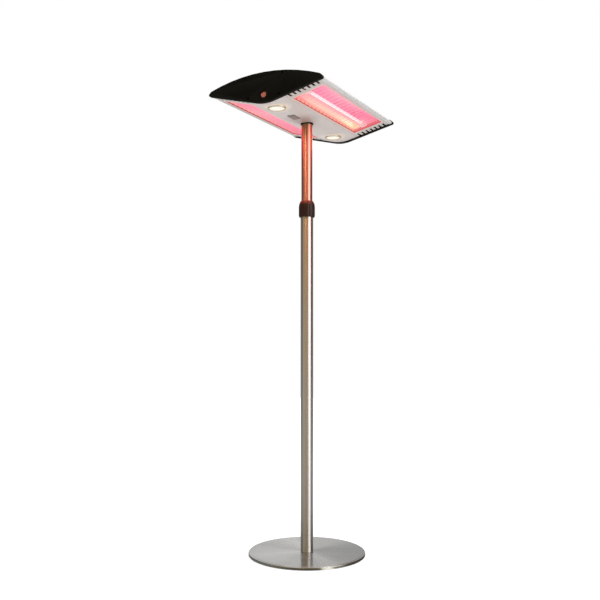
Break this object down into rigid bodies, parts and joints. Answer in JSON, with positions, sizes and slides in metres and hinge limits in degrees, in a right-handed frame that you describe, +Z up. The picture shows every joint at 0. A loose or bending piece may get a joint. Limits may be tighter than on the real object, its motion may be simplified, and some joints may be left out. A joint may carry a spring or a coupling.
{
  "type": "patio heater",
  "caption": "Free-standing electric infrared patio heater: weighted disc base, telescopic pole with a twist clamp, and a winged head with quartz elements, round lamps and a rocker switch.",
  "frame": {"origin": "on the floor under the pole's axis, at the centre of the round base", "axes": "+Z up along the pole, +Y along the heating tubes with the switch end of the head at -Y, +X across the two wings"},
  "size_m": [0.4496, 0.65, 1.729],
  "materials": {
    "steel_tube": "satin",
    "base_plate": "satin",
    "cast_weight": "matte",
    "rubber_black": "matte",
    "plastic_black": "satin",
    "zinc_steel": "satin",
    "aluminium_frame": "satin",
    "casing_sheet": "satin",
    "painted_panel": "satin",
    "mirror_sheet": "polished",
    "ceramic_white": "matte",
    "quartz_glass": "gloss",
    "glowing_coil": "matte",
    "lamp_glass": "satin",
    "lamp_ring": "satin",
    "tinted_plastic": "gloss",
    "circuit_board": "matte",
    "red_lens": "gloss"
  },
  "bodies": {
    "stand": {"base_cover": "base_plate", "base_weight": "cast_weight", "foot_1": "rubber_black", "foot_2": "rubber_black", "foot_3": "rubber_black", "foot_4": "rubber_black", "foot_5": "rubber_black", "tube_flange": "zinc_steel", "flange_screw_1": "zinc_steel", "flange_screw_2": "zinc_steel", "flange_screw_3": "zinc_steel", "lower_tube": "steel_tube", "cable_grommet": "rubber_black", "clamp_sleeve": "plastic_black", "clamp_collet": "plastic_black"},
    "clamp_nut": {"clamp_nut": "plastic_black"},
    "carriage": {"guide_bush": "plastic_black"},
    "head": {"upper_tube": "steel_tube", "mast_trim": "plastic_black", "mast_socket": "aluminium_frame", "mast_bracket": "zinc_steel", "chassis": "aluminium_frame", "control_board": "circuit_board", "top_cover": "casing_sheet", "belly_panel": "painted_panel", "wing_frame_right": "painted_panel", "wing_frame_left": "painted_panel", "reflector_right": "mirror_sheet", "reflector_left": "mirror_sheet", "guard_right": "zinc_steel", "guard_left": "zinc_steel", "quartz_tube_right": "quartz_glass", "quartz_tube_left": "quartz_glass", "filament_right": "glowing_coil", "filament_left": "glowing_coil", "tube_holder_right_front": "ceramic_white", "tube_holder_right_rear": "ceramic_white", "tube_holder_left_front": "ceramic_white", "tube_holder_left_rear": "ceramic_white", "lamp_bezel_front": "lamp_ring", "lamp_bezel_rear": "lamp_ring", "lamp_lens_front": "lamp_glass", "lamp_lens_rear": "lamp_glass", "lamp_housing_front": "aluminium_frame", "lamp_housing_rear": "aluminium_frame", "receiver_window": "tinted_plastic", "receiver_board": "circuit_board", "end_cap_front": "plastic_black", "end_cap_rear": "plastic_black", "cap_screw_front_upper_right": "zinc_steel", "cap_screw_front_upper_left": "zinc_steel", "cap_screw_front_lower_right": "zinc_steel", "cap_screw_front_lower_left": "zinc_steel", "cap_screw_rear_upper_right": "zinc_steel", "cap_screw_rear_upper_left": "zinc_steel", "cap_screw_rear_lower_right": "zinc_steel", "cap_screw_rear_lower_left": "zinc_steel", "switch_body": "plastic_black"},
    "rocker": {"switch_rocker": "red_lens"}
  },
  "joints": [
    {"name": "clamp_twist", "type": "hinge", "parent": "stand", "child": "clamp_nut", "pos_m": [0, 0, 1.3], "axis": [0, 0, 1], "range_deg": [0, 120]},
    {"name": "mast_slide", "type": "slide", "parent": "stand", "child": "carriage", "axis": [0, 0, 1], "range_m": [-0.079, 0.471]},
    {"name": "mast_turn", "type": "hinge", "parent": "carriage", "child": "head", "pos_m": [0, 0, 0.7], "axis": [0, 0, 1], "range_deg": [-90, 90]},
    {"name": "switch_rocker", "type": "hinge", "parent": "head", "child": "rocker", "pos_m": [0, -0.3202, 1.652], "axis": [1, 0, 0], "range_deg": [0, 20]}
  ]
}
